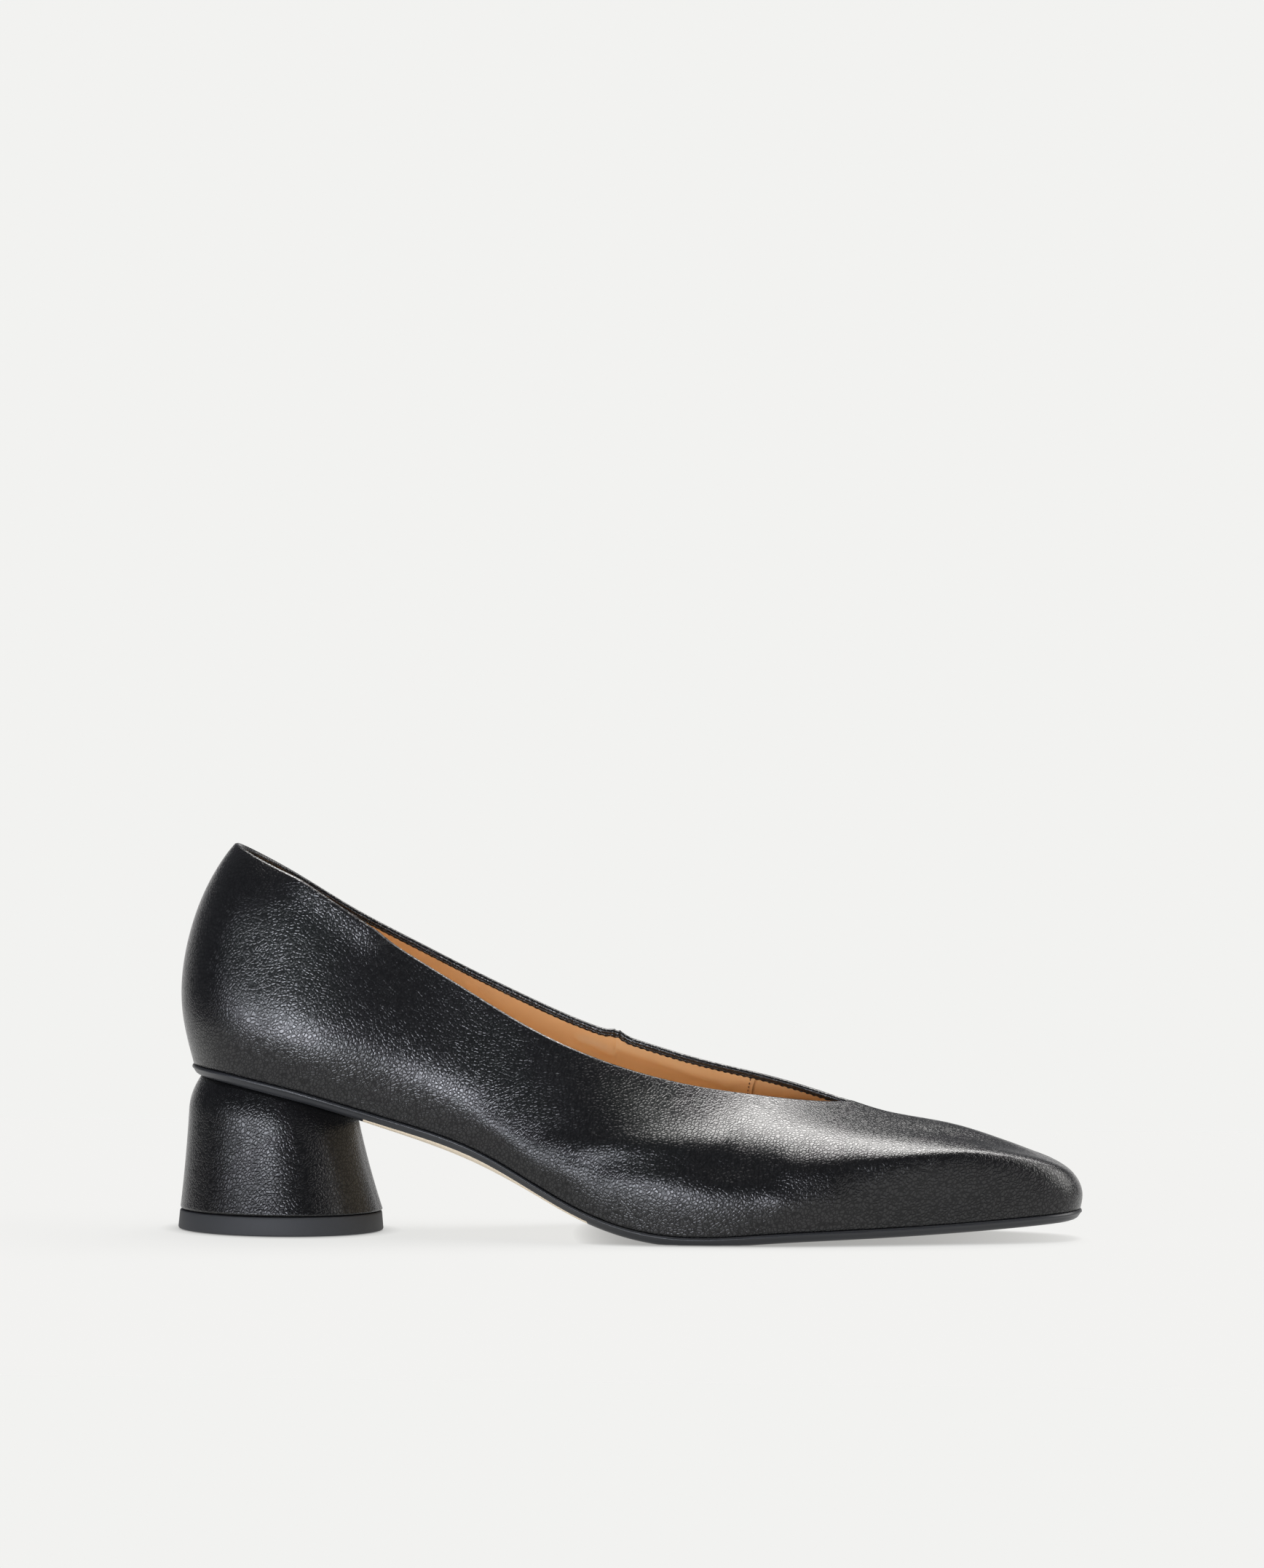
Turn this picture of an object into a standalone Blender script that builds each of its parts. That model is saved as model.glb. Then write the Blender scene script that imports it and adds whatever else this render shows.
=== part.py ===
"""Right-foot heeled shoe: a lined pump with a V throat, a chisel toe and a flared block heel.

Shapes are worked out in millimetres and written in metres. x runs from the back of the heel to the
toe, y is negative on the lateral (outer) side and positive on the medial side, z is up from the floor.
"""

import math
from collections import namedtuple

import bmesh
import bpy
import numpy as np

MM = 0.001

# Driving dimensions, in millimetres
LENGTH = 248.2
BALL_WIDTH = 80.0
HEEL_HEIGHT = 45.3
COLLAR_HEIGHT = 105.9
WALL = 1.6
SOLE = 2.6
INSOLE = 2.2
GAP = 0.3
ORIGIN = (123.9, -0.8, 0.0)

# Where the two sides of the topline meet, as a share of the length
THROAT = 0.744
# How far the ridge line lies to the medial side behind the throat, as a share of half the ball width
RIDGE_SHIFT = 0.03
# How far the shoulder line of the toe box stands out, how far it reaches to each side, and its lean
# outwards and upwards
TOE_RIDGE = 1.0
RIDGE_REACH = 3.5
RIDGE_LEAN_OUT = 0.6
RIDGE_LEAN_UP = 0.8

# Sections of the last from the toe tip round to the back of the heel. along and ridge_along are shares
# of the length, lateral and medial of half the ball width, lift of the heel height, and ridge_rise of
# the collar height. The rest is in millimetres: belly is how far the bottom hangs below its edges, and
# out and up are measured from the feather edge, where the upper meets the sole, square to its outline.
# flare widens the medial wall, edge is the share of the toe ridge, and peak is the slope at which each
# side climbs to the ridge line.
Station = namedtuple(
    "Station",
    "name along lateral medial lift belly bulge_out bulge_up shoulder_out shoulder_up "
    "crown_out crown_up flare edge ridge_along ridge_rise peak",
)
STATIONS = [
    Station("tip", 0.997, -0.04, 0.04, 0.183, 0.0, 0.5, 3.8, -2.2, 9.6, -8.5, 13.3, 0.0, 0.0, 0.936, 0.230, 0.0),
    Station("corner", 0.983, 0.24, 0.31, 0.177, 0.0, 0.8, 5.0, -1.6, 10.8, -8.0, 14.0, 0.0, 0.3, 0.929, 0.237, 0.0),
    Station("toe", 0.941, 0.42, 0.485, 0.159, 0.0, 0.8, 7.0, -0.7, 14.2, -8.5, 17.2, 0.0, 0.7, 0.906, 0.256, 0.0),
    Station("cap", 0.856, 0.61, 0.675, 0.126, 0.0, 0.8, 8.0, 0.6, 18.2, -11.5, 23.0, 0.0, 1.0, 0.850, 0.295, 0.05),
    Station("vamp", 0.752, 0.81, 0.86, 0.097, 0.0, 1.0, 8.0, 0.2, 18.0, -13.5, 27.0, 0.0, 0.6, 0.762, 0.336, 0.25),
    Station("joint", 0.647, 0.96, 0.96, 0.071, 0.0, 0.9, 6.0, -2.0, 19.5, -17.5, 32.5, 0.0, 0.0, 0.657, 0.436, 0.45),
    Station("ball", 0.546, 1.00, 0.91, 0.055, 0.0, 0.8, 6.0, 0.3, 16.5, -13.5, 36.0, 1.5, 0.0, 0.552, 0.580, 0.45),
    Station("instep", 0.445, 0.90, 0.70, 0.196, 0.8, 1.0, 6.0, 0.0, 16.0, -10.5, 38.5, 7.0, 0.0, 0.451, 0.720, 0.3),
    Station("waist", 0.332, 0.65, 0.55, 0.525, 2.4, 2.2, 8.5, -0.5, 26.0, -5.0, 41.5, 5.5, 0.0, 0.338, 0.915, 0.0),
    Station("shank", 0.227, 0.62, 0.60, 0.724, 1.7, 3.0, 12.0, 0.8, 31.0, -4.2, 48.0, 2.0, 0.0, 0.242, 1.020, 0.0),
    Station("seat", 0.130, 0.66, 0.66, 0.879, 1.0, 3.2, 11.0, 0.6, 34.0, -5.0, 54.0, 0.0, 0.0, 0.177, 1.067, 0.0),
    Station("counter", 0.049, 0.49, 0.49, 0.975, 0.3, 3.4, 13.0, 1.2, 34.0, -5.0, 53.0, 0.0, 0.0, 0.121, 1.067, 0.0),
    Station("back", 0.0137, 0.0, 0.0, 1.0, 0.0, 3.35, 15.0, 1.4, 36.0, -5.3, 52.7, 0.0, 0.0, 0.100, 1.060, 0.0),
]

# The topline seen from the side: shares of the length, and of the collar height on each side. The
# first row lies past the back of the collar. The line ends on the ridge, at the throat.
Topline = namedtuple("Topline", "along lateral medial")
TOPLINE = [
    Topline(0.000, 1.085, 1.085),
    Topline(0.064, 0.995, 0.995),
    Topline(0.119, 0.929, 0.922),
    Topline(0.183, 0.832, 0.832),
    Topline(0.249, 0.734, 0.752),
    Topline(0.314, 0.642, 0.676),
    Topline(0.378, 0.555, 0.606),
    Topline(0.443, 0.485, 0.541),
    Topline(0.508, 0.434, 0.491),
    Topline(0.573, 0.398, 0.449),
    Topline(0.638, 0.374, 0.417),
    Topline(0.702, 0.355, 0.379),
]

# Side of the outsole, from its underside up to its lip: how far each edge lies inside the lip, and how
# deep it lies under the sole's top
LIP_OUT = 0.4
SoleEdge = namedtuple("SoleEdge", "inset depth")
SOLE_EDGES = [
    SoleEdge(2.4, SOLE),
    SoleEdge(1.0, 1.7),
    SoleEdge(0.45, 0.75),
    SoleEdge(0.0, 0.6),
    SoleEdge(0.0, 0.25),
    SoleEdge(0.25, 0.0),
]
# Where the middle line of the sole stops short of its two ends
SPINE_FROM = 16.0
SPINE_TO = 232.0
INSOLE_INSET = WALL + 0.6

# Heel: a circle at the floor, an oval under the seat, and a rounded shoulder everywhere but in front
TOP_PIECE = 5.2
TOP_PIECE_RADIUS = 28.15
TOP_PIECE_TAPER = 0.4
TOP_PIECE_ROUND = 0.4
HEEL_X = 27.8
HEEL_RADIUS = 27.7
SEAT_X = 25.5
SEAT_HALF_LENGTH = 22.9
SEAT_HALF_WIDTH = 22.9
SEAT_ROUND = 3.0
ROUND_FROM = 0.75
# Heights of the heel's rings, as shares of its height: even up its side, then close round its shoulder
HEEL_LEVELS = (0.0, 0.19, 0.38, 0.56, ROUND_FROM, 0.83, 0.9, 0.95, 0.98, 1.0)

# Facets: columns round half the shoe before and after the throat, rows up the wall, sides of the heel
VAMP_COLUMNS = 18
QUARTER_COLUMNS = 26
WALL_ROWS = 15
HEEL_SIDES = 48
# The topline is looked for on each column's upper part, in small steps
TOPLINE_FROM = 0.3
TOPLINE_STEPS = 700


class Spline:
    """Cubic with no kinks through rows of values at rising knots: closed if it has a period, else with
    free ends or a given slope at the last one."""

    def __init__(self, knots, values, period=None, end_slope=None):
        knots = np.asarray(knots, float)
        values = np.asarray(values, float).reshape(len(knots), -1)
        if period:
            knots = np.append(knots, knots[0] + period)
            values = np.vstack([values, values[:1]])
        self.knots, self.values = knots, values
        count = len(knots)
        step = np.diff(knots)[:, None]
        rise = np.diff(values, axis=0) / step
        system = np.eye(count)
        bend = np.zeros_like(values)
        for i in range(1, count - 1):
            system[i, i - 1 : i + 2] = step[i - 1, 0], 2 * (step[i - 1, 0] + step[i, 0]), step[i, 0]
            bend[i] = 6 * (rise[i] - rise[i - 1])
        if period:
            system[0, -1] = -1
            system[-1, :2] = 2 * step[0, 0], step[0, 0]
            system[-1, -2:] = step[-1, 0], 2 * step[-1, 0]
            bend[-1] = 6 * (rise[0] - rise[-1])
        elif end_slope is not None:
            system[-1, -2:] = step[-1, 0], 2 * step[-1, 0]
            bend[-1] = 6 * (np.asarray(end_slope) - rise[-1])
        self.bends = np.linalg.solve(system, bend)

    def place(self, s):
        """Index of each s's span, the span's length, and the shares of its two ends."""
        s = np.atleast_1d(np.asarray(s, float))
        i = np.clip(np.searchsorted(self.knots, s, "right") - 1, 0, len(self.knots) - 2)
        step = self.knots[i + 1] - self.knots[i]
        after = (s - self.knots[i]) / step
        return i, step[:, None], (1 - after)[:, None], after[:, None]

    def at(self, s):
        i, step, before, after = self.place(s)
        straight = before * self.values[i] + after * self.values[i + 1]
        bow = (before**3 - before) * self.bends[i] + (after**3 - after) * self.bends[i + 1]
        return straight + bow * step**2 / 6

    def slope(self, s):
        i, step, before, after = self.place(s)
        rise = (self.values[i + 1] - self.values[i]) / step
        turn = (3 * after**2 - 1) * self.bends[i + 1] - (3 * before**2 - 1) * self.bends[i]
        return rise + turn * step / 6


def station_values(side):
    """One row for each station on a side, -1 for lateral and 1 for medial: the feather edge's x, y and z,
    then bulge, shoulder and crown out and up, edge, the ridge's x, y and z, and peak."""
    rows = []
    for st in STATIONS:
        reach = st.medial if side > 0 else st.lateral
        flare = st.flare if side > 0 else 0.0
        axis = (st.medial - st.lateral) / 2 if st.along > THROAT else RIDGE_SHIFT
        rows.append([
            st.along * LENGTH, side * reach * BALL_WIDTH / 2, st.lift * HEEL_HEIGHT,
            st.bulge_out + flare / 2, st.bulge_up, st.shoulder_out + flare, st.shoulder_up,
            st.crown_out + flare, st.crown_up, st.edge,
            st.ridge_along * LENGTH, axis * BALL_WIDTH / 2, st.ridge_rise * COLLAR_HEIGHT, st.peak,
        ])
    return np.array(rows)


class Last:
    """The form that the shoe is built on, as columns from its feather edge up to its ridge line."""

    def __init__(self):
        lateral, medial = station_values(-1), station_values(1)
        spans = [np.hypot(*np.diff(side[:, :2], axis=0).T) for side in (lateral, medial)]
        knots = np.append(0.0, np.cumsum(np.mean(spans, axis=0)))
        self.half = knots[-1]
        around = np.append(knots, 2 * self.half - knots[-2:0:-1])
        self.loop = Spline(around, np.vstack([lateral, medial[-2:0:-1]]), period=2 * self.half)
        rising = slice(None, None, -1)
        self.ridge = Spline(lateral[rising, 10], lateral[rising, 12])
        self.edge_height = Spline(lateral[rising, 0], lateral[rising, 2])
        self.belly = Spline(lateral[rising, 0], [st.belly for st in STATIONS[rising]])
        self.reach = {side: Spline(rows[rising, 0], rows[rising, 1]) for side, rows in ((-1, lateral), (1, medial))}
        along = [row.along * LENGTH for row in TOPLINE] + [THROAT * LENGTH]
        end = self.ridge.at(THROAT * LENGTH)[0, 0]
        self.cut = {
            -1: Spline(along, [row.lateral * COLLAR_HEIGHT for row in TOPLINE] + [end]),
            1: Spline(along, [row.medial * COLLAR_HEIGHT for row in TOPLINE] + [end]),
        }
        self.throat = self.find_throat()

    def find_throat(self):
        """Place on the lateral half of the loop whose ridge point is the throat."""
        places = np.linspace(0, self.half, 4000)
        ridge_x = self.loop.at(places)[:, 10]
        return float(np.interp(-THROAT * LENGTH, -ridge_x, places))

    def side(self, s):
        return -1 if s <= self.half else 1

    def outline(self, s):
        """Feather edge points at places s, and the flat directions that point out of the shoe there."""
        points = self.loop.at(s)[:, :3]
        along = self.loop.slope(s)[:, :2]
        along /= np.linalg.norm(along, axis=1)[:, None]
        return points, np.column_stack([-along[:, 1], along[:, 0], np.zeros(len(along))])

    def column(self, s):
        """Curve from the feather edge (0) to the ridge (1) at place s, and where its shoulder is on it."""
        (foot,), (out,) = self.outline([s])
        row = self.loop.at([s])[0]
        up = np.array([0.0, 0.0, 1.0])
        bulge, shoulder, crown = (foot + row[k] * out + row[k + 1] * up for k in (3, 5, 7))
        ridge = row[10:13]
        points = np.array([foot, bulge, shoulder, crown, ridge])
        chords = np.linalg.norm(np.diff(points, axis=0), axis=1)
        knots = np.append(0.0, np.cumsum(chords)) / chords.sum()
        arrive = ridge - crown
        arrive[2] = arrive[0] * self.ridge.slope(ridge[0])[0, 0] + row[13] * abs(arrive[1])
        arrive *= chords.sum() / np.linalg.norm(arrive)
        return Spline(knots, points, end_slope=arrive), knots[2], chords.sum(), out, row[9]

    def wall(self, s, rows):
        """Points up the wall at place s, from the feather edge to the topline or, in front of the throat,
        to the ridge."""
        curve, shoulder, length, out, edge = self.column(s)
        top = 1.0
        if curve.values[-1, 0] < THROAT * LENGTH - 1e-6:
            shares = np.linspace(TOPLINE_FROM, 1.0, TOPLINE_STEPS)
            path = curve.at(shares)
            above = path[:, 2] - self.cut[self.side(s)].at(path[:, 0])[:, 0]
            first = np.argmax(above > 0)
            top = np.interp(0.0, above[first - 1 : first + 1], shares[first - 1 : first + 1])
        shares = np.linspace(0.0, top, rows + 1)
        points = curve.at(shares)
        pinch = TOE_RIDGE * edge * np.exp(-np.abs((shares - shoulder) * length / RIDGE_REACH) ** 1.5)
        outward = out * RIDGE_LEAN_OUT + np.array([0.0, 0.0, RIDGE_LEAN_UP])
        return points + pinch[:, None] * outward

    def bottom(self, points):
        """Height of the last's bottom under points: its edge height, less its belly between the edges."""
        x, y = points[:, 0], points[:, 1]
        reach = np.where(y < 0, self.reach[-1].at(x)[:, 0], self.reach[1].at(x)[:, 0])
        across = np.clip(1 - (y / np.where(np.abs(reach) < 5.0, 5.0, reach)) ** 2, 0, 1)
        return self.edge_height.at(x)[:, 0] - np.clip(self.belly.at(x)[:, 0], 0, None) * across

    def places(self, vamp, quarter):
        """Places right round the loop, one of them at the throat on each side."""
        front = np.linspace(0, self.throat, vamp + 1)
        back = np.linspace(self.throat, self.half, quarter + 1)
        half = np.append(front, back[1:])
        return np.append(half, 2 * self.half - half[-2:0:-1])


def in_scene(points):
    return (np.asarray(points) - ORIGIN) * MM


def skin(name, rows):
    """Mesh of the faces between rows of points that run right round, with points that meet made one."""
    mesh = bmesh.new()
    rings = [[mesh.verts.new(point) for point in in_scene(row)] for row in rows]
    for low, high in zip(rings, rings[1:]):
        for i in range(len(low)):
            mesh.faces.new((low[i - 1], high[i - 1], high[i], low[i]))
    bmesh.ops.remove_doubles(mesh, verts=mesh.verts, dist=0.002 * MM)
    data = bpy.data.meshes.new(name)
    mesh.to_mesh(data)
    mesh.free()
    data.shade_smooth()
    return data


def material(name, colour, roughness):
    made = bpy.data.materials.new(name)
    made.use_nodes = True
    shader = made.node_tree.nodes["Principled BSDF"]
    shader.inputs["Base Color"].default_value = (*colour, 1.0)
    shader.inputs["Roughness"].default_value = roughness
    return made


def add_part(name, data, finish, parent):
    part = bpy.data.objects.new(name, data)
    part.data.materials.append(finish)
    part.parent = parent
    bpy.data.collections["heeled_shoe"].objects.link(part)
    return part


def make_upper(last):
    """The outside of the last up to the topline, thickened inwards to a wall."""
    columns = [last.wall(s, WALL_ROWS) for s in last.places(VAMP_COLUMNS, QUARTER_COLUMNS)]
    return skin("upper", np.swapaxes(columns, 0, 1))


def thicken(part):
    shell = part.modifiers.new("wall", "SOLIDIFY")
    shell.thickness = WALL * MM
    shell.offset = -1
    shell.use_even_offset = True


def spine(edge):
    """For each point of an edge, the point of the middle line that it shares with the one across."""
    across = edge[-np.arange(len(edge))]
    middle = np.zeros_like(edge)
    middle[:, 0] = np.clip((edge + across)[:, 0] / 2, SPINE_FROM, SPINE_TO)
    return middle


def sheet(edge, shares):
    """Rings of points from an edge in to the middle line, at shares of the way."""
    return [edge + share * (spine(edge) - edge) for share in shares]


def make_outsole(last):
    """Lofted from the middle of its underside out, up the stepped side to the lip, and in across the top."""
    feather, out = last.outline(last.places(VAMP_COLUMNS, QUARTER_COLUMNS))
    rows = []

    def add(points, depth):
        height = last.bottom(points) - GAP - depth
        rows.append(np.column_stack([points[:, :2], np.maximum(height, 0.0)]))

    edges = [feather + (LIP_OUT - edge.inset) * out for edge in SOLE_EDGES]
    for ring in sheet(edges[0], (1.0, 0.6, 0.3)):
        add(ring, SOLE)
    for points, edge in zip(edges, SOLE_EDGES):
        add(points, edge.depth)
    for ring in sheet(edges[-1], (0.3, 0.6, 1.0)):
        add(ring, 0.0)
    return skin("outsole", rows)


def make_insole(last):
    feather, out = last.outline(last.places(VAMP_COLUMNS, QUARTER_COLUMNS))
    edge = feather - INSOLE_INSET * out
    rows = []
    for height, shares in ((0.0, (1.0, 0.5, 0.0)), (INSOLE, (0.0, 0.5, 1.0))):
        for ring in sheet(edge, shares):
            rows.append(np.column_stack([ring[:, :2], last.bottom(ring) + height]))
    return skin("insole", rows)


def make_heel(last):
    """Lofted from the floor circle up to the oval of the seat, whose face follows the sole's underside."""
    angle = np.linspace(0, -2 * math.pi, HEEL_SIDES, endpoint=False)
    out = np.column_stack([np.cos(angle), np.sin(angle), np.zeros(HEEL_SIDES)])
    floor_middle = np.array([HEEL_X, 0.0, TOP_PIECE + GAP])
    foot = out * HEEL_RADIUS + floor_middle
    seat = out * (SEAT_HALF_LENGTH, SEAT_HALF_WIDTH, 0.0) + (SEAT_X, 0.0, 0.0)
    behind = (1 - out[:, :1]) / 2

    def under_sole(points):
        height = last.bottom(points) - SOLE - 2 * GAP
        return np.column_stack([points[:, :2], height])

    top = under_sole(seat - SEAT_ROUND * behind * out)
    rows = [floor_middle + share * (foot - floor_middle) for share in (0.0, 0.6)]
    for level in HEEL_LEVELS:
        turn = max(0.0, (level - ROUND_FROM) / (1 - ROUND_FROM)) ** 2
        ring = foot + level * (seat - foot) - turn * SEAT_ROUND * behind * out
        ring[:, 2] = foot[:, 2] + level * (top[:, 2] - foot[:, 2])
        rows.append(ring)
    middle = np.array([SEAT_X, 0.0, 0.0])
    for share in (0.65, 0.3, 0.0):
        rows.append(under_sole(middle + share * (top - middle)))
    return skin("heel", rows)


def make_top_piece():
    """A short cone frustum under the heel."""
    mesh = bmesh.new()
    bmesh.ops.create_cone(
        mesh, cap_ends=True, segments=HEEL_SIDES, depth=TOP_PIECE * MM,
        radius1=TOP_PIECE_RADIUS * MM, radius2=(TOP_PIECE_RADIUS - TOP_PIECE_TAPER) * MM,
    )
    bmesh.ops.translate(mesh, verts=mesh.verts, vec=in_scene((HEEL_X, 0.0, TOP_PIECE / 2)))
    data = bpy.data.meshes.new("heel_top_piece")
    mesh.to_mesh(data)
    mesh.free()
    return data


def main():
    for old in list(bpy.data.objects):
        bpy.data.objects.remove(old)
    bpy.context.scene.collection.children.link(bpy.data.collections.new("heeled_shoe"))
    shoe = bpy.data.objects.new("shoe", None)
    bpy.data.collections["heeled_shoe"].objects.link(shoe)
    black_leather = material("black_leather", (0.012, 0.012, 0.013), 0.42)
    tan_leather = material("tan_leather", (0.52, 0.27, 0.11), 0.5)
    sole_leather = material("sole_leather", (0.02, 0.019, 0.018), 0.5)
    rubber = material("black_rubber", (0.015, 0.015, 0.015), 0.6)

    last = Last()
    thicken(add_part("upper", make_upper(last), black_leather, shoe))
    add_part("insole", make_insole(last), tan_leather, shoe)
    add_part("outsole", make_outsole(last), sole_leather, shoe)
    add_part("heel", make_heel(last), black_leather, shoe)
    lift = add_part("heel_top_piece", make_top_piece(), rubber, shoe)
    rounding = lift.modifiers.new("edge", "BEVEL")
    rounding.width = TOP_PIECE_ROUND * MM
    rounding.segments = 2


main()
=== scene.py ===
"""Looks of a right-foot heeled shoe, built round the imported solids.

Shapes are worked out in millimetres on the same last as the solids and written in metres, in the solids'
frame. x runs from the back of the heel to the toe, y is negative on the lateral (outer) side and positive
on the medial side, z is up from the floor.
"""

import math
from collections import namedtuple

import bmesh
import bpy
import numpy as np
from mathutils import Matrix

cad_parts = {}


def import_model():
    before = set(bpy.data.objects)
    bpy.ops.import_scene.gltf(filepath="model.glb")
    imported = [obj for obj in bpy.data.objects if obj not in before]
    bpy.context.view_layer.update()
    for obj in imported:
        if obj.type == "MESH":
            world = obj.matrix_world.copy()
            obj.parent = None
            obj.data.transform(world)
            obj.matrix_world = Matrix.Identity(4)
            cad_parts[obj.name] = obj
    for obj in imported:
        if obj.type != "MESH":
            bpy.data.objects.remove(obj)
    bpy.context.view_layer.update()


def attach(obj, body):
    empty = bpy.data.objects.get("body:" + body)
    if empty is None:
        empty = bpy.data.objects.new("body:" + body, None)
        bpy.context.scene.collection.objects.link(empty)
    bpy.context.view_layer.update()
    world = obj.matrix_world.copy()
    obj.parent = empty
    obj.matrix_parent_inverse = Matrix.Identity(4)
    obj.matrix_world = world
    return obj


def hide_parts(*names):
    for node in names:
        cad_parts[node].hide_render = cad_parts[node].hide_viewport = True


MM = 0.001

# Driving dimensions of the last and of the pieces on it, in millimetres
LENGTH = 248.2
BALL_WIDTH = 80.0
HEEL_HEIGHT = 45.3
COLLAR_HEIGHT = 105.9
WALL = 1.6
SOLE = 2.6
INSOLE = 2.2
GAP = 0.3
ORIGIN = (123.9, -0.8, 0.0)
# Where the throat is, as a share of the length, and how far the ridge line behind it lies to the medial
# side, as a share of half the ball width
THROAT = 0.744
RIDGE_SHIFT = 0.03
# The ridge round the toe: its height and reach, how steeply it falls off, and its lean out and up
TOE_RIDGE = 1.0
RIDGE_REACH = 3.5
RIDGE_FALL = 1.5
RIDGE_LEAN_OUT = 0.6
RIDGE_LEAN_UP = 0.8
# Half width over which the ridge line in front of the throat is rounded, and over what distance from
# the throat that starts
CREST = 2.5
CREST_FADE = 12.0

# Sections of the last from the toe tip round to the back of the heel. along and ridge_along are shares
# of the length, lateral and medial of half the ball width, lift of the heel height, and ridge_rise of
# the collar height. The rest is in millimetres: belly is how far the bottom hangs below its edges, and
# out and up are measured from the feather edge, where the upper meets the sole, square to its outline.
# flare widens the medial wall, edge is the share of the toe ridge, and peak is the slope at which each
# side climbs to the ridge line.
Station = namedtuple(
    "Station",
    "name along lateral medial lift belly bulge_out bulge_up shoulder_out shoulder_up "
    "crown_out crown_up flare edge ridge_along ridge_rise peak",
)
STATIONS = [Station(*row) for row in (
    ("tip", 0.997, -0.04, 0.04, 0.183, 0.0, 0.5, 3.8, -2.2, 9.6, -8.5, 13.3, 0.0, 0.0, 0.936, 0.230, 0.0),
    ("corner", 0.983, 0.24, 0.31, 0.177, 0.0, 0.8, 5.0, -1.6, 10.8, -8.0, 14.0, 0.0, 0.3, 0.929, 0.237, 0.0),
    ("toe", 0.941, 0.42, 0.485, 0.159, 0.0, 0.8, 7.0, -0.7, 14.2, -8.5, 17.2, 0.0, 0.7, 0.906, 0.256, 0.0),
    ("cap", 0.856, 0.61, 0.675, 0.126, 0.0, 0.8, 8.0, 0.6, 18.2, -11.5, 23.0, 0.0, 1.0, 0.850, 0.295, 0.05),
    ("vamp", 0.752, 0.81, 0.86, 0.097, 0.0, 1.0, 8.0, 0.2, 18.0, -13.5, 27.0, 0.0, 0.6, 0.762, 0.336, 0.25),
    ("joint", 0.647, 0.96, 0.96, 0.071, 0.0, 0.9, 6.0, -2.0, 19.5, -17.5, 32.5, 0.0, 0.0, 0.657, 0.436, 0.45),
    ("ball", 0.546, 1.00, 0.91, 0.055, 0.0, 0.8, 6.0, 0.3, 16.5, -13.5, 36.0, 1.5, 0.0, 0.552, 0.580, 0.45),
    ("instep", 0.445, 0.90, 0.70, 0.196, 0.8, 1.0, 6.0, 0.0, 16.0, -10.5, 38.5, 7.0, 0.0, 0.451, 0.720, 0.3),
    ("waist", 0.332, 0.65, 0.55, 0.525, 2.4, 2.2, 8.5, -0.5, 26.0, -5.0, 41.5, 5.5, 0.0, 0.338, 0.915, 0.0),
    ("shank", 0.227, 0.62, 0.60, 0.724, 1.7, 3.0, 12.0, 0.8, 31.0, -4.2, 48.0, 2.0, 0.0, 0.242, 1.020, 0.0),
    ("seat", 0.130, 0.66, 0.66, 0.879, 1.0, 3.2, 11.0, 0.6, 34.0, -5.0, 54.0, 0.0, 0.0, 0.177, 1.067, 0.0),
    ("counter", 0.049, 0.49, 0.49, 0.975, 0.3, 3.4, 13.0, 1.2, 34.0, -5.0, 53.0, 0.0, 0.0, 0.121, 1.067, 0.0),
    ("back", 0.0137, 0.0, 0.0, 1.0, 0.0, 3.35, 15.0, 1.4, 36.0, -5.3, 52.7, 0.0, 0.0, 0.100, 1.060, 0.0),
)]
# Where station_values puts what it reads from a station, after the feather edge's x, y and z
BULGE = 3
SHOULDER = 5
CROWN = 7
EDGE = 9
RIDGE_X = 10
RIDGE_Z = 12
PEAK = 13
# The last's bottom is taken to be no narrower than this to each side, in millimetres
REACH_LEAST = 5.0

# The topline seen from the side: shares of the length, and of the collar height on each side. The
# first row lies past the back of the collar. The line ends on the ridge, at the throat.
Topline = namedtuple("Topline", "along lateral medial")
TOPLINE = [
    Topline(0.000, 1.085, 1.085),
    Topline(0.064, 0.995, 0.995),
    Topline(0.119, 0.929, 0.922),
    Topline(0.183, 0.832, 0.832),
    Topline(0.249, 0.734, 0.752),
    Topline(0.314, 0.642, 0.676),
    Topline(0.378, 0.555, 0.606),
    Topline(0.443, 0.485, 0.541),
    Topline(0.508, 0.434, 0.491),
    Topline(0.573, 0.398, 0.449),
    Topline(0.638, 0.374, 0.417),
    Topline(0.702, 0.355, 0.379),
]
# It is looked for in this many steps, from this share of each column up. Places round the shoe are found
# in LOOP_STEPS.
TOPLINE_FROM = 0.3
TOPLINE_STEPS = 700
LOOP_STEPS = 4000

# Creases and swells of the leather: the side that each is on, how far the surface moves
# out (or in, below zero), how far that reaches to each side of its path, and the path as places along
# the shoe and heights above the floor
Crease = namedtuple("Crease", "name side move reach path")
LATERAL = -1
MEDIAL = 1
CREASES = [
    Crease("waist_roll", LATERAL, 0.5, 4.0, [(86, 30.5), (92, 26), (98, 21), (107, 19.5)]),
    Crease("fold", LATERAL, 0.5, 3.5, [(103, 26), (120, 26.5), (138, 27.5), (148, 27)]),
    Crease("fold_trough", LATERAL, -0.35, 4.5, [(118, 23), (135, 22.5), (150, 21.5)]),
    Crease("knuckle_cove", LATERAL, -0.6, 4.5, [(148, 21), (156, 21), (162, 20)]),
    Crease("knuckle", LATERAL, 0.75, 4.5, [(168, 20.5), (173, 19.5), (178, 20)]),
    Crease("ball_foot", LATERAL, 0.8, 5.0, [(165, 12), (178, 12)]),
    Crease("collar_gape", LATERAL, 2.2, 6.5, [(36, 98.5), (44, 92.5), (53, 85)]),
]

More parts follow.
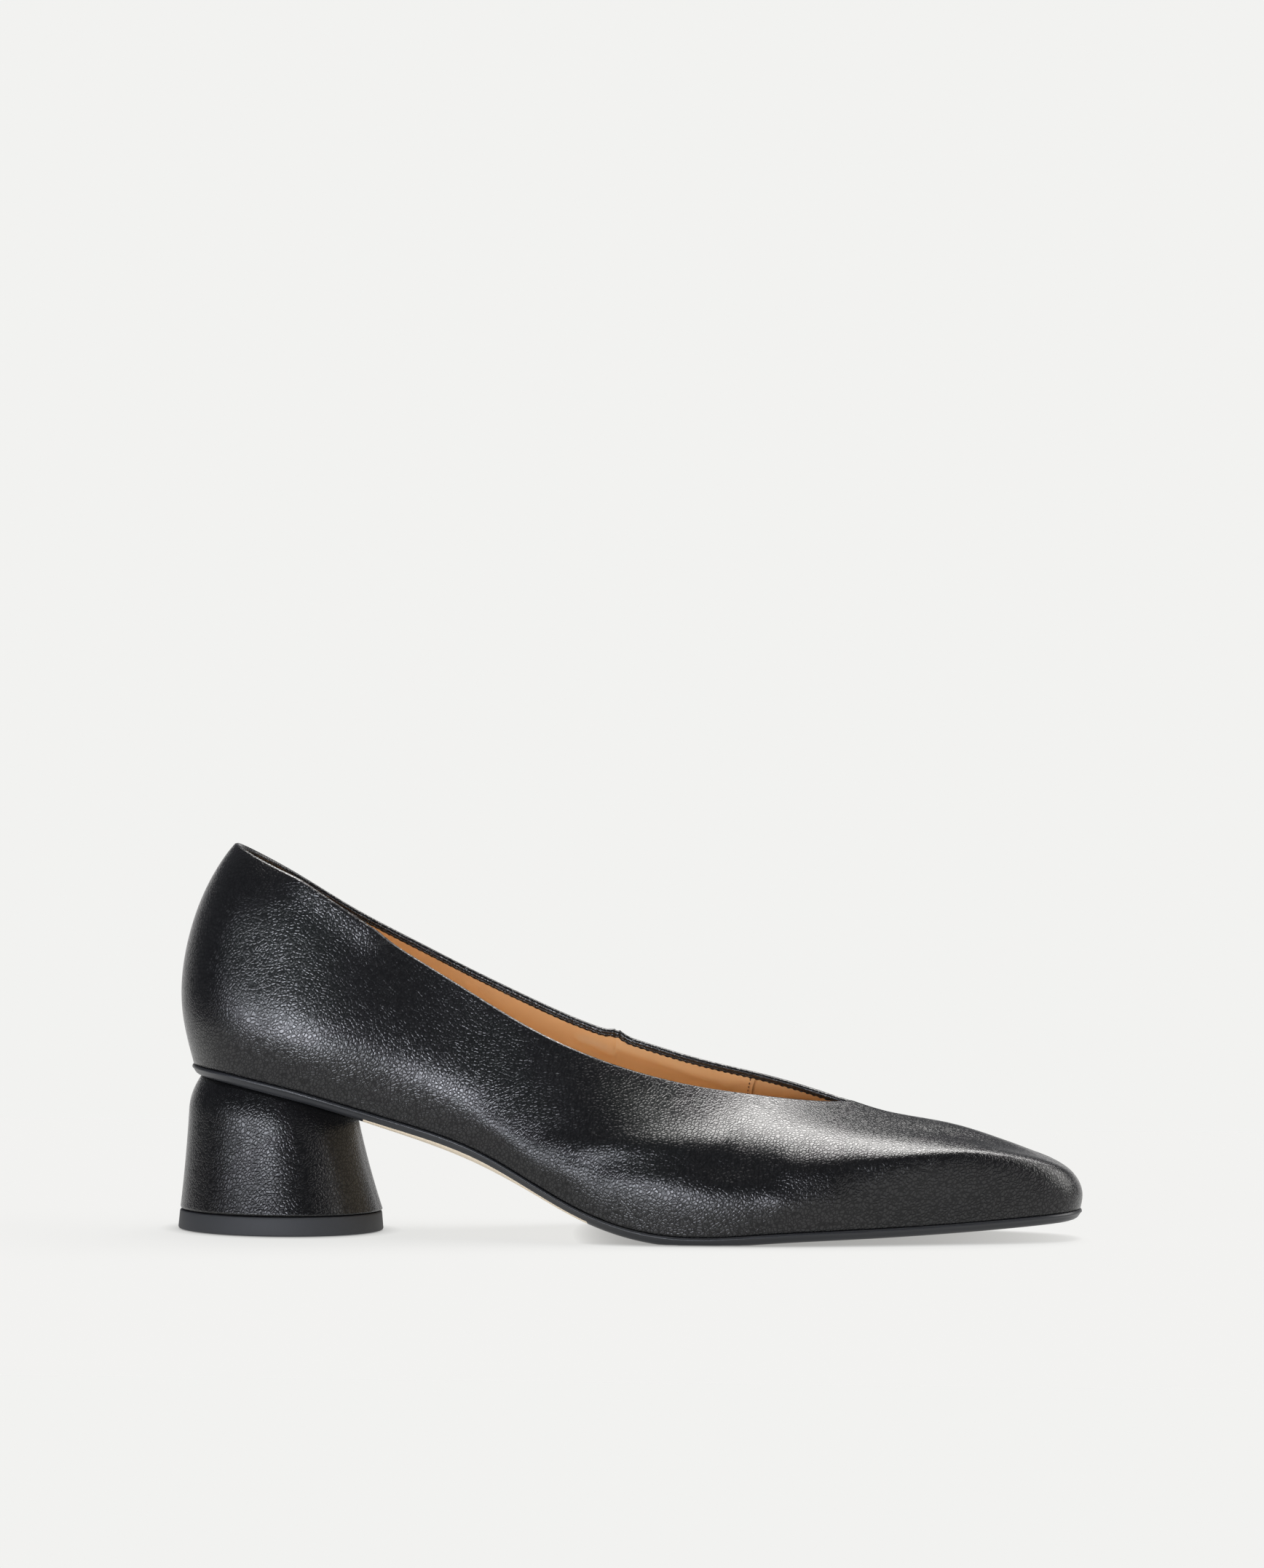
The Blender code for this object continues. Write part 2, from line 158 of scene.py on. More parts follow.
# Creases of the lining alone. Those below zero stand into the shoe.
LINING_CREASES = [
    Crease("roll", MEDIAL, -0.8, 1.5, [(120, 50), (131, 46.8), (141, 43.8), (151, 41.2)]),
    Crease("wrinkle", MEDIAL, -1.0, 1.0, [(109, 52.2), (113.5, 50.8), (118.5, 48.4)]),
    Crease("wrinkle_low", MEDIAL, -0.8, 1.1, [(106, 50.3), (110, 49.4), (113, 47.4)]),
]

# Seams, by their place along the feather edge: the upper's, on the medial side, and the lining's, on both.
# The columns of the mesh are closer within reach of them.
SIDE_SEAM = 117.0
LINING_SEAM = 157.5
SEAM_REACH = 2.0
SEAM_CLEAR = 0.2
SEAM_COLUMNS = 25
# The upper swells beside its seam, dips in it and stands higher at the topline. A share of that shows
# through the lining.
SEAM_SWELL = 2.2
SEAM_RISE = 0.3
SEAM_GROOVE = 0.3
SEAM_DEPTH = 0.4
SEAM_BUMP = 0.9
LINING_SEAM_SHARE = 0.3
# The lining's back piece laps over its front one, with a groove along its edge. The lap fades out over a
# range of distances behind its edge, and over some rows under the collar.
LAP = 0.5
LAP_EDGE = 0.1
LAP_GROOVE = 0.5
LAP_GROOVE_HALF = 0.25
LAP_FADE = (6.0, 12.0)
LAP_TUCK_ROWS = 4

# Stitches: length, gap and thickness of a thread's visible pieces, their distance from the edge that they
# hold down, and how far their ends sink in, as a share of the thickness
Stitch = namedtuple("Stitch", "length gap radius")
LINING_STITCH = Stitch(1.1, 0.7, 0.22)
FACING_STITCH = Stitch(1.2, 0.7, 0.14)
LINING_STITCH_OFF = 1.4
FACING_STITCH_OFF = 0.08
STITCH_SINK = 0.6

# Collar: the leather rolls over the edge and is turned in as a facing, above the lining. The roll's turns
# are in degrees from the outside, and it is flat between those of its bevel.
ROLL = 0.85
ROLL_TURNS = (0, 10, 20, 60, 80, 110, 145, 180)
BEVEL = 2
BEVEL_HOLD = 0.08
FACING = 0.95
# Near the throat the roll runs out over this distance
TRIM_FADE = 4.0
# The facing below the roll, as depths under it and distances towards the wall: a groove, then a turned
# edge
FACING_ROWS = [
    (0.06, 0.0), (0.12, 0.16), (0.18, 0.26), (0.24, 0.16), (0.3, 0.0),
    (0.6, -0.05), (FACING - 0.15, 0.0), (FACING, 0.12), (FACING, 0.35),
]
# The lining starts this far under the roll, and lies this far inside the upper's outside
LINING_UNDER = 0.3
LINING_OFFSET = WALL - 0.15
# The upper is tucked in under the last by this margin
MARGIN = 2.5

# Outsole: its side from the underside up, as distances inside the lip and depths under the sole's top
LIP_OUT = 0.4
SoleEdge = namedtuple("SoleEdge", "inset depth")
SOLE_EDGES = [
    SoleEdge(2.4, 2.6),
    SoleEdge(1.7, 2.42),
    SoleEdge(1.15, 2.1),
    SoleEdge(0.8, 1.7),
    SoleEdge(0.55, 1.3),
    SoleEdge(0.35, 1.0),
    SoleEdge(0.12, 0.85),
    SoleEdge(0.0, 0.7),
    SoleEdge(0.02, 0.4),
    SoleEdge(0.12, 0.12),
    SoleEdge(0.3, -0.05),
    SoleEdge(0.6, -0.15),
]
# The sole's top stands this far into the gap under the upper, so that no light shows through
SOLE_CLOSE = 0.15
# Its underside is bare leather in front of the heel, and so are the first rows of its edge under the arch
BLACK_FROM = 2
NATURAL_FROM = 51.0
NATURAL_EDGE_TO = 112.0
# Ends of the middle line that the sole's and sock's flat sides run in to
SPINE_FROM = 16.0
SPINE_TO = 232.0
SOCK_INSET = WALL + 0.1
SOCK_ROUND = 0.5

# Heel: a circle at the floor, an oval under the seat, and a rounded shoulder everywhere but in front
TOP_PIECE = 5.2
TOP_PIECE_RADIUS = 28.15
TOP_PIECE_TAPER = 0.4
TOP_PIECE_ROUND = 0.5
TOP_PIECE_RIM = 3.0
HEEL_X = 27.8
HEEL_RADIUS = 27.7
SEAT_X = 25.5
SEAT_HALF_LENGTH = 22.9
SEAT_HALF_WIDTH = 22.9
SEAT_ROUND = 3.0
ROUND_FROM = 0.75
# Room between the heel's cover and the top piece, and between it and the sole
HEEL_FOOT_GAP = GAP / 3
HEEL_SEAT_GAP = GAP * 1.1
# The cover laps over itself down the front of the heel: how far it stands out, the angle over which that
# fades, and the angle of its step
HEEL_LAP = 0.35
HEEL_LAP_ANGLE = 12.0
HEEL_LAP_STEP = 0.4
# How far its sides are hollowed half way up
HEEL_WAIST = 0.4
# Its lower edge is turned in over the top piece: the height and depth of that turn
HEEL_TURN = 1.0
HEEL_TURN_IN = 1.0

# Mesh density: columns round half the shoe before and after the throat, and rows up the wall, then the
# sides and rows of the heel, of a stitch and of flat sides. Shares say where rows lie, and the power
# brings the heel's rows closer at the floor. Points closer than WELD are made one.
VAMP_COLUMNS = 110
QUARTER_COLUMNS = 210
WALL_ROWS = 66
HEEL_SIDES = 240
HEEL_LAP_SIDES = 16
HEEL_ROWS = 48
HEEL_ROW_POWER = 1.6
HEEL_RIM_SHARE = 0.95
HEEL_TOP_SHARES = (0.95, 0.6, 0.3, 0.0)
ROUND_TURNS = (0, 30, 60, 90)
STITCH_SIDES = 6
STITCH_ROWS = 7
SOLE_UNDER_ROWS = 20
SOLE_TOP_SHARES = (0.0, 0.15, 0.5, 1.0)
SOCK_ROWS = 16
SOCK_TURN_SHARES = (0.0, 0.35, 0.7, 1.0)
WELD = 0.002

# Camera: the photograph's frame in pixels, its scale at the shoe, and its angle to the shoe
FRAME_WIDTH = 1736
FRAME_HEIGHT = 2154
PIXELS_PER_MM = 5.0
VIEW_ELEVATION = 3.8
VIEW_ROLL = 0.7
VIEW_DISTANCE = 2500.0
# Where the photograph shows the middle of the shoe's length, at the floor
ANCHOR_PIXEL = (866.2, 1692.9)
ANCHOR_X = 123.9
MIDDLE_HEIGHT = 50.0
SENSOR = 36.0
CLIP_END = 100.0

# The pale floor, in metres, just under the shoe. It glows, as a light table does, and takes soft shadows;
# its glow is dimmed by a painted contact shadow where something stands close over it.
BACKGROUND = (0.888, 0.888, 0.873)
FLOOR_GLOW = 0.84
FLOOR_SHADE = 0.0731
FLOOR_HALF = 0.4
FLOOR_DROP = 0.0002
CONTACT = 0.006
CONTACT_SHADE = 0.45
CONTACT_SAMPLES = 8

# Soft lights all round, as seen from the shoe: azimuth from the camera's side to the right, elevation,
# the angles from its middle where each starts to fade and where it ends, its brightness and its tint
SoftBox = namedtuple("SoftBox", "name azimuth elevation inner outer radiance tint")
COOL = np.array([0.95, 0.985, 1.08])
WARM = np.array([1.02, 1.0, 0.98])
SOFT_BOXES = [
    SoftBox("over", 160.0, 79.0, 3.0, 18.0, 12.5, WARM),
    SoftBox("over_back", 174.0, 61.0, 3.0, 18.0, 11.5, WARM),
    SoftBox("rim", 140.0, 51.0, 4.0, 16.0, 9.0, WARM),
    SoftBox("over_front", 20.0, 78.0, 3.0, 16.0, 3.0, WARM),
    SoftBox("key", -6.0, -4.0, 5.0, 18.0, 20.5, COOL),
    SoftBox("key_left", -37.0, -3.0, 5.0, 17.0, 10.5, COOL),
    SoftBox("left", -58.0, 3.0, 3.0, 12.0, 3.0, COOL),
    SoftBox("right", 62.0, -3.0, 3.0, 14.0, 1.5, WARM),
    SoftBox("right_back", 96.0, 25.0, 10.0, 30.0, 4.5, WARM),
]
DARK_ROOM = 0.12
# The bright backdrop behind the shoe: its brightness, the elevations where it starts to fade and ends,
# and how far back a direction points, from 0 to 1, where it starts and where it is full
BACKDROP = 0.9
BACKDROP_TOP = (5.0, 12.0)
BACKDROP_SIDES = (0.65, 0.95)

# Grain of the leather, in cells of it: the length and size of the pattern's wandering, its turn in
# degrees, its stretch along the slant, the width of the creases, which get painted shade as a lower
# specular level, and how many pores go to a cell and how high they stand. Colour and gloss vary in larger
# patches.
WANDER_LENGTH = 4.0
WANDER = 1.6
GRAIN_TURN = (0.0, 38.0, 12.0)
GRAIN_STRETCH = 1.2
GRAIN_CREASE = 0.26
PORES = 3.0
PORE_HEIGHT = 0.25
PATCHES_PER_METRE = 60.0
FINE_DETAIL = 2.0
PATCH_DETAIL = 4.0
# A Mix node's sockets for colours
MIX_FIRST = 6
MIX_SECOND = 7
MIX_OUT = 2


class Spline:
    """Cubic with no kinks through rows of values at rising knots: closed if it has a period, else with
    free ends or a given slope at the last one."""

    def __init__(self, knots, values, period=None, end_slope=None):
        knots = np.asarray(knots, float)
        values = np.asarray(values, float).reshape(len(knots), -1)
        if period:
            knots = np.append(knots, knots[0] + period)
            values = np.vstack([values, values[:1]])
        self.knots, self.values = knots, values
        count = len(knots)
        step = np.diff(knots)[:, None]
        rise = np.diff(values, axis=0) / step
        system = np.eye(count)
        bend = np.zeros_like(values)
        for i in range(1, count - 1):
            system[i, i - 1 : i + 2] = step[i - 1, 0], 2 * (step[i - 1, 0] + step[i, 0]), step[i, 0]
            bend[i] = 6 * (rise[i] - rise[i - 1])
        if period:
            system[0, -1] = -1
            system[-1, :2] = 2 * step[0, 0], step[0, 0]
            system[-1, -2:] = step[-1, 0], 2 * step[-1, 0]
            bend[-1] = 6 * (rise[0] - rise[-1])
        elif end_slope is not None:
            system[-1, -2:] = step[-1, 0], 2 * step[-1, 0]
            bend[-1] = 6 * (np.asarray(end_slope) - rise[-1])
        self.bends = np.linalg.solve(system, bend)

    def place(self, s):
        """Index of each s's span, the span's length, and the shares of its two ends."""
        s = np.atleast_1d(np.asarray(s, float))
        i = np.clip(np.searchsorted(self.knots, s, "right") - 1, 0, len(self.knots) - 2)
        step = self.knots[i + 1] - self.knots[i]
        after = (s - self.knots[i]) / step
        return i, step[:, None], (1 - after)[:, None], after[:, None]

    def at(self, s):
        i, step, before, after = self.place(s)
        straight = before * self.values[i] + after * self.values[i + 1]
        bow = (before**3 - before) * self.bends[i] + (after**3 - after) * self.bends[i + 1]
        return straight + bow * step**2 / 6

    def slope(self, s):
        i, step, before, after = self.place(s)
        rise = (self.values[i + 1] - self.values[i]) / step
        turn = (3 * after**2 - 1) * self.bends[i + 1] - (3 * before**2 - 1) * self.bends[i]
        return rise + turn * step / 6


def smooth(value, low, high):
    """0 below low, 1 above high, and a soft step between."""
    share = np.clip((value - low) / (high - low), 0, 1)
    return share * share * (3 - 2 * share)


def unit(vectors):
    return vectors / np.linalg.norm(vectors, axis=-1, keepdims=True)


def station_values(side):
    """One row for each station on a side, -1 for lateral and 1 for medial: the feather edge's x, y and z,
    then bulge, shoulder and crown out and up, edge, the ridge's x, y and z, and peak."""
    rows = []
    for st in STATIONS:
        reach = st.medial if side > 0 else st.lateral
        flare = st.flare if side > 0 else 0.0
        axis = (st.medial - st.lateral) / 2 if st.along > THROAT else RIDGE_SHIFT
        rows.append([
            st.along * LENGTH, side * reach * BALL_WIDTH / 2, st.lift * HEEL_HEIGHT,
            st.bulge_out + flare / 2, st.bulge_up, st.shoulder_out + flare, st.shoulder_up,
            st.crown_out + flare, st.crown_up, st.edge,
            st.ridge_along * LENGTH, axis * BALL_WIDTH / 2, st.ridge_rise * COLLAR_HEIGHT, st.peak,
        ])
    return np.array(rows)


class Last:
    """The form that the shoe is built on, as columns from its feather edge up to its ridge line."""

    def __init__(self):
        lateral, medial = station_values(LATERAL), station_values(MEDIAL)
        spans = [np.hypot(*np.diff(side[:, :2], axis=0).T) for side in (lateral, medial)]
        knots = np.append(0.0, np.cumsum(np.mean(spans, axis=0)))
        self.half = knots[-1]
        around = np.append(knots, 2 * self.half - knots[-2:0:-1])
        self.loop = Spline(around, np.vstack([lateral, medial[-2:0:-1]]), period=2 * self.half)
        rising = slice(None, None, -1)
        self.ridge = Spline(lateral[rising, RIDGE_X], lateral[rising, RIDGE_Z])
        self.edge_height = Spline(lateral[rising, 0], lateral[rising, 2])
        self.belly = Spline(lateral[rising, 0], [st.belly for st in STATIONS[rising]])
        self.reach = {
            side: Spline(rows[rising, 0], rows[rising, 1])
            for side, rows in ((LATERAL, lateral), (MEDIAL, medial))
        }
        along = [row.along * LENGTH for row in TOPLINE] + [THROAT * LENGTH]
        end = self.ridge.at(THROAT * LENGTH)[0, 0]
        self.cut = {
            LATERAL: Spline(along, [row.lateral * COLLAR_HEIGHT for row in TOPLINE] + [end]),
            MEDIAL: Spline(along, [row.medial * COLLAR_HEIGHT for row in TOPLINE] + [end]),
        }
        self.throat = self.place_at(THROAT * LENGTH, RIDGE_X)

    def side(self, s):
        return LATERAL if s <= self.half else MEDIAL

    def outline(self, s):
        """Feather edge points at places s, and the flat directions that point out of the shoe there."""
        points = self.loop.at(s)[:, :3]
        along = unit(self.loop.slope(s)[:, :2])
        return points, np.column_stack([-along[:, 1], along[:, 0], np.zeros(len(along))])

    def bottom(self, points):
        """Height of the last's bottom under points: its edge height, less its belly between the edges."""
        x, y = points[:, 0], points[:, 1]
        reach = np.where(y < 0, self.reach[LATERAL].at(x)[:, 0], self.reach[MEDIAL].at(x)[:, 0])
        across = np.clip(1 - (y / np.where(np.abs(reach) < REACH_LEAST, REACH_LEAST, reach)) ** 2, 0, 1)
        return self.edge_height.at(x)[:, 0] - np.clip(self.belly.at(x)[:, 0], 0, None) * across

    def place_at(self, x, value=0):
        """Place on the lateral side where the feather edge, or another value of the stations, has an x."""
        places = np.linspace(0, self.half, LOOP_STEPS)
        return float(np.interp(-x, -self.loop.at(places)[:, value], places))

    def places(self, vamp, quarter):
        """Places right round the loop, one of them at the throat on each side, and closer at the seams."""
        front = np.linspace(0, self.throat, vamp + 1)
        back = np.linspace(self.throat, self.half, quarter + 1)[1:]
        for seam in (self.place_at(SIDE_SEAM), self.place_at(LINING_SEAM)):
            near = seam + np.linspace(-SEAM_REACH, SEAM_REACH, SEAM_COLUMNS)
            back = np.append(back[np.abs(back - seam) > SEAM_REACH + SEAM_CLEAR], near)
        half = np.append(front, np.sort(back))
        return np.append(half, 2 * self.half - half[-2:0:-1])


class Column:
    """One curve up the last from the feather edge (0) to the ridge (1), with the share where it is cut."""

    def __init__(self, last, s):
        (foot,), (self.out,) = last.outline([s])
        row = last.loop.at([s])[0]
        up = np.array([0.0, 0.0, 1.0])
        bulge, shoulder, crown = (
            foot + row[k] * self.out + row[k + 1] * up for k in (BULGE, SHOULDER, CROWN)
        )
        self.edge, self.ridge, self.peak = row[EDGE], row[RIDGE_X : RIDGE_Z + 1], row[PEAK]
        points = np.array([foot, bulge, shoulder, crown, self.ridge])
        chords = np.linalg.norm(np.diff(points, axis=0), axis=1)
        knots = np.append(0.0, np.cumsum(chords)) / chords.sum()
        arrive = self.ridge - crown
        arrive[2] = arrive[0] * last.ridge.slope(self.ridge[0])[0, 0] + self.peak * abs(arrive[1])
        self.length = chords.sum()
        self.shoulder = knots[2]
        self.curve = Spline(knots, points, end_slope=unit(arrive) * self.length)
        self.top = 1.0
        self.cut = self.ridge[0] < THROAT * LENGTH - 1e-6
        if self.cut:
            shares = np.linspace(TOPLINE_FROM, 1.0, TOPLINE_STEPS)
            path = self.curve.at(shares)
            above = path[:, 2] - last.cut[last.side(s)].at(path[:, 0])[:, 0]
            first = np.argmax(above > 0)
            self.top = np.interp(0.0, above[first - 1 : first + 1], shares[first - 1 : first + 1])

    def at(self, shares):
        points = self.curve.at(shares)
        reach = np.abs((shares - self.shoulder) * self.length / RIDGE_REACH)
        pinch = TOE_RIDGE * self.edge * np.exp(-(reach**RIDGE_FALL))
        points += pinch[:, None] * (self.out * RIDGE_LEAN_OUT + np.array([0.0, 0.0, RIDGE_LEAN_UP]))
        if not self.cut:
            near = np.clip(1 - np.abs(points[:, 1] - self.ridge[1]) / CREST, 0, 1)
            fade = smooth(self.ridge[0] - THROAT * LENGTH, 0.0, CREST_FADE)
            points[:, 2] -= self.peak * CREST / 2 * near**2 * fade
        return points


class Shell:
    """The upper's outside as a grid of points, column by column from the feather edge to just under the
    topline, with the directions that point out of it."""

    def __init__(self, last):
        self.places = last.places(VAMP_COLUMNS, QUARTER_COLUMNS)
        self.columns = [Column(last, s) for s in self.places]
        self.sides = np.array([last.side(s) for s in self.places])
        count = len(self.places)
        self.collar = np.arange(VAMP_COLUMNS, count - VAMP_COLUMNS + 1)
        from_toe = np.minimum(self.places, 2 * last.half - self.places)
        away = np.abs(from_toe - last.throat)
        self.trim = np.array([c.cut for c in self.columns]) * smooth(away, 0.0, TRIM_FADE)
        beside = self.places - (2 * last.half - last.place_at(SIDE_SEAM))
        self.seam = np.exp(-((beside / SEAM_SWELL) ** 2))
        self.groove = np.exp(-((beside / SEAM_GROOVE) ** 2))
        self.behind_lap = from_toe - last.place_at(LINING_SEAM)
        self.points = self.grid(ROLL)
        self.out = self.outward(self.points)
        self.points = self.points + self.out * self.moved(self.points)[..., None]
        self.out = self.outward(self.points)

    def grid(self, trim):
        """Points up every column, which stop short of the topline by a trim."""
        shares = np.linspace(0, 1, WALL_ROWS + 1)
        rises = SEAM_BUMP * self.seam - trim * self.trim
        tops = [c.top + rise / c.length for c, rise in zip(self.columns, rises)]
        return np.array([c.at(shares * top) for c, top in zip(self.columns, tops)])

    def under(self, depth):
        """Points of the collar's columns at a depth under the topline, before creases."""
        found = []
        for i in self.collar:
            column = self.columns[i]
            found.append(column.at(np.array([column.top - self.trim[i] * depth / column.length]))[0])
        return np.array(found)

    def outward(self, points):
        along = np.roll(points, -1, axis=0) - np.roll(points, 1, axis=0)
        up = np.gradient(points, axis=1)
        out = unit(np.cross(up, along))
        front = np.arange(1, VAMP_COLUMNS + 1)
        out[front, -1] = out[-front, -1] = unit(out[front, -1] + out[-front, -1])
        return out

    def moved(self, points, creases=CREASES, seam=1.0):
        """How far creases, and the side seam or a share of it, move each point out."""
        across = seam * (SEAM_RISE * self.seam - SEAM_DEPTH * self.groove)
        moves = np.repeat(across[:, None], points.shape[1], axis=1)
        for crease in creases:
            side = self.sides == crease.side
            away = distance(points[side], crease.path) / crease.reach
            moves[side] += crease.move * np.exp(-(away**2))
        return moves


def distance(points, path):
    """Distance of points from a path of (x, z) places, seen from the side."""
    flat = points[..., [0, 2]]
    nearest = np.full(flat.shape[:-1], np.inf)
    for start, end in zip(np.array(path[:-1], float), np.array(path[1:], float)):
        span = end - start
        share = np.clip((flat - start) @ span / (span @ span), 0, 1)
        nearest = np.minimum(nearest, np.linalg.norm(flat - start - share[..., None] * span, axis=-1))
    return nearest


def in_scene(points):
    return (np.asarray(points) - ORIGIN) * MM


def weave(mesh, rows, closed=True, slot=0):
    """Adds to a mesh the faces between rows of points. They point out where rows that run clockwise, seen
    from above, go up."""
    rings = [[mesh.verts.new(point) for point in in_scene(row)] for row in rows]
    faces = []
    for low, high in zip(rings, rings[1:]):
        for i in range(0 if closed else 1, len(low)):
            face = mesh.faces.new((low[i - 1], high[i - 1], high[i], low[i]))
            face.material_index = slot
            face.smooth = True
            faces.append(face)
    return faces


def add_piece(name, mesh, finishes, node=None):
    """Makes a mesh into a piece of the shoe, with points that meet made one."""
    bmesh.ops.remove_doubles(mesh, verts=mesh.verts, dist=WELD * MM)
    data = bpy.data.meshes.new(name)
    mesh.to_mesh(data)
    mesh.free()
    for finish in finishes:
        data.materials.append(finish)
    piece = bpy.data.objects.new(name, data)
    bpy.context.scene.collection.objects.link(piece)
    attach(piece, "root")
    if node:
        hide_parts(node)


def add_upper(last, shell, finish):
    """Outer leather: tucked under at the feather edge, up the wall, over the collar and in as a facing."""
    mesh = bmesh.new()
    feather, out = last.outline(shell.places)
    tucks = []
    for inset in (MARGIN, MARGIN / 2, MARGIN / 8):
        edge = feather - inset * out
        tucks.append(np.column_stack([edge[:, :2], last.bottom(edge) - SOLE_CLOSE]))
    weave(mesh, [*tucks, *np.swapaxes(shell.points, 0, 1)])
    ring = shell.points[shell.collar, -1]
    out = shell.out[shell.collar, -1]
    up = unit(np.cross(np.gradient(ring, axis=0), out))
    corner = up[0] + up[-1]
    up[0] = up[-1] = corner / np.dot(corner, up[0])
    turns = np.radians(ROLL_TURNS)
    profile = ROLL * np.column_stack([np.cos(turns) - 1, np.sin(turns)])
    first, second = profile[BEVEL : BEVEL + 2]
    flat = [first + share * (second - first) for share in (BEVEL_HOLD, 1 - BEVEL_HOLD)]
    profile = np.insert(profile, BEVEL + 1, flat, axis=0)
    rows = [ring + out * aside + up * rise for aside, rise in profile]
    inner = rows[-1]

    def facing(depth):
        return inner + shell.under(ROLL + depth) - shell.under(ROLL)

    rows += [facing(depth) + out * turn for depth, turn in FACING_ROWS]
    weave(mesh, rows, closed=False)
    stitch(mesh, facing(FACING - FACING_STITCH_OFF), -out, FACING_STITCH)
    add_piece("upper_leather", mesh, [finish], "upper")


def stitch(mesh, path, out, kind, slot=0):
    """Adds a row of stitches to a mesh: short threads along a path, which dip into it at their ends."""
    along = np.append(0.0, np.cumsum(np.linalg.norm(np.diff(path, axis=0), axis=1)))

    def on_path(values, at):
        return np.column_stack([np.interp(at, along, values[:, k]) for k in range(3)])

    turn = np.linspace(0, 2 * math.pi, STITCH_SIDES, endpoint=False)[:, None]
    shares = np.linspace(0, 1, STITCH_ROWS)
    bow = np.sin(shares * math.pi)
    pitch = kind.length + kind.gap
    for start in np.arange(pitch / 2, along[-1] - pitch, pitch):
        middle = on_path(path, start + kind.length * shares)
        lift = unit(on_path(out, start + kind.length * shares))
        aside = np.cross(unit(np.gradient(middle, axis=0)), lift)
        rings = []
        for centre, across, above, high in zip(middle, aside, lift, bow):
            ring = (np.cos(turn) * across + np.sin(turn) * above) * (1 + high) / 2
            rings.append(centre + kind.radius * (ring + above * (high - STITCH_SINK)))
        weave(mesh, rings, slot=slot)


def add_lining(shell, finish, thread):
    """Lining inside the wall, in two pieces: the back one laps over the front one and is stitched down."""
    mesh = bmesh.new()
    points = shell.grid(ROLL + LINING_UNDER)
    out = shell.outward(points)
    behind = shell.behind_lap
    lap = LAP * smooth(behind, -LAP_EDGE, LAP_EDGE) * (1 - smooth(behind, *LAP_FADE))
    lap -= LAP_GROOVE * np.exp(-(((behind + LAP_GROOVE_HALF) / LAP_GROOVE_HALF) ** 2))
    clear = np.clip(np.arange(WALL_ROWS, -1, -1) / LAP_TUCK_ROWS, 0, 1)
    moves = shell.moved(points, CREASES + LINING_CREASES, LINING_SEAM_SHARE)
    moves -= LINING_OFFSET + lap[:, None] * clear
    points = points + out * moves[..., None]
    weave(mesh, np.swapaxes(points, 0, 1)[::-1])
    for side in (LATERAL, MEDIAL):
        away = np.abs(behind - LINING_STITCH_OFF) + (shell.sides != side) * LENGTH
        column = np.argmin(away)
        stitch(mesh, points[column, ::-1], -out[column, ::-1], LINING_STITCH, slot=1)
    add_piece("lining", mesh, [finish, thread])


def spine(edge):
    """For each point of an edge, the point of the middle line that it shares with the one across."""
    across = edge[-np.arange(len(edge))]
    middle = np.zeros_like(edge)
    middle[:, 0] = np.clip((edge + across)[:, 0] / 2, SPINE_FROM, SPINE_TO)
    return middle


def sheet(edge, shares):
    """Rings of points from an edge in to the middle line, at shares of the way."""
    return [edge + share * (spine(edge) - edge) for share in shares]


def add_sock(last, shell, finish):
    """Leather sock on the insole, with a rounded edge against the lining."""
    feather, out = last.outline(shell.places)
    edge = feather - SOCK_INSET * out
    mesh = bmesh.new()
    rows = [np.column_stack([edge[:, :2], last.bottom(edge)])]
    for share in SOCK_TURN_SHARES:
        turn = math.radians(90 * share)
        ring = edge - out * SOCK_ROUND * (1 - math.cos(turn))
        height = last.bottom(ring) + INSOLE - SOCK_ROUND * (1 - math.sin(turn))
        rows.append(np.column_stack([ring[:, :2], height]))
    for ring in sheet(edge - out * SOCK_ROUND, np.linspace(0, 1, SOCK_ROWS)[1:]):
        rows.append(np.column_stack([ring[:, :2], last.bottom(ring) + INSOLE]))
    weave(mesh, rows)
    add_piece("sock", mesh, [finish], "insole")


def blacken(faces, start, end):
    """Gives faces that lie outside a range of places along the shoe their piece's first finish."""
    for face in faces:
        x = face.calc_center_median().x / MM + ORIGIN[0]
        if not start < x < end:
            face.material_index = 0


def add_outsole(last, shell, black, natural):
    """Sole: its underside, its side up to the lip, and its top."""
    feather, out = last.outline(shell.places)

    def level(points, depth):
        height = last.bottom(points) - GAP - depth
        return np.column_stack([points[:, :2], np.maximum(height, 0.0)])

    edges = [feather + (LIP_OUT - edge.inset) * out for edge in SOLE_EDGES]
    mesh = bmesh.new()
    under = [level(ring, SOLE) for ring in sheet(edges[0], np.linspace(1, 0, SOLE_UNDER_ROWS))]
    side = [level(points, edge.depth) for points, edge in zip(edges, SOLE_EDGES)]
    over = [level(ring, -SOLE_CLOSE) for ring in sheet(edges[-1], SOLE_TOP_SHARES)]
    low = weave(mesh, under, slot=1)
    turned = weave(mesh, side[: BLACK_FROM + 1], slot=1)
    weave(mesh, side[BLACK_FROM:] + over[1:])
    blacken(low, NATURAL_FROM, LENGTH)
    blacken(turned, NATURAL_FROM, NATURAL_EDGE_TO)
    add_piece("outsole_leather", mesh, [black, natural], "outsole")


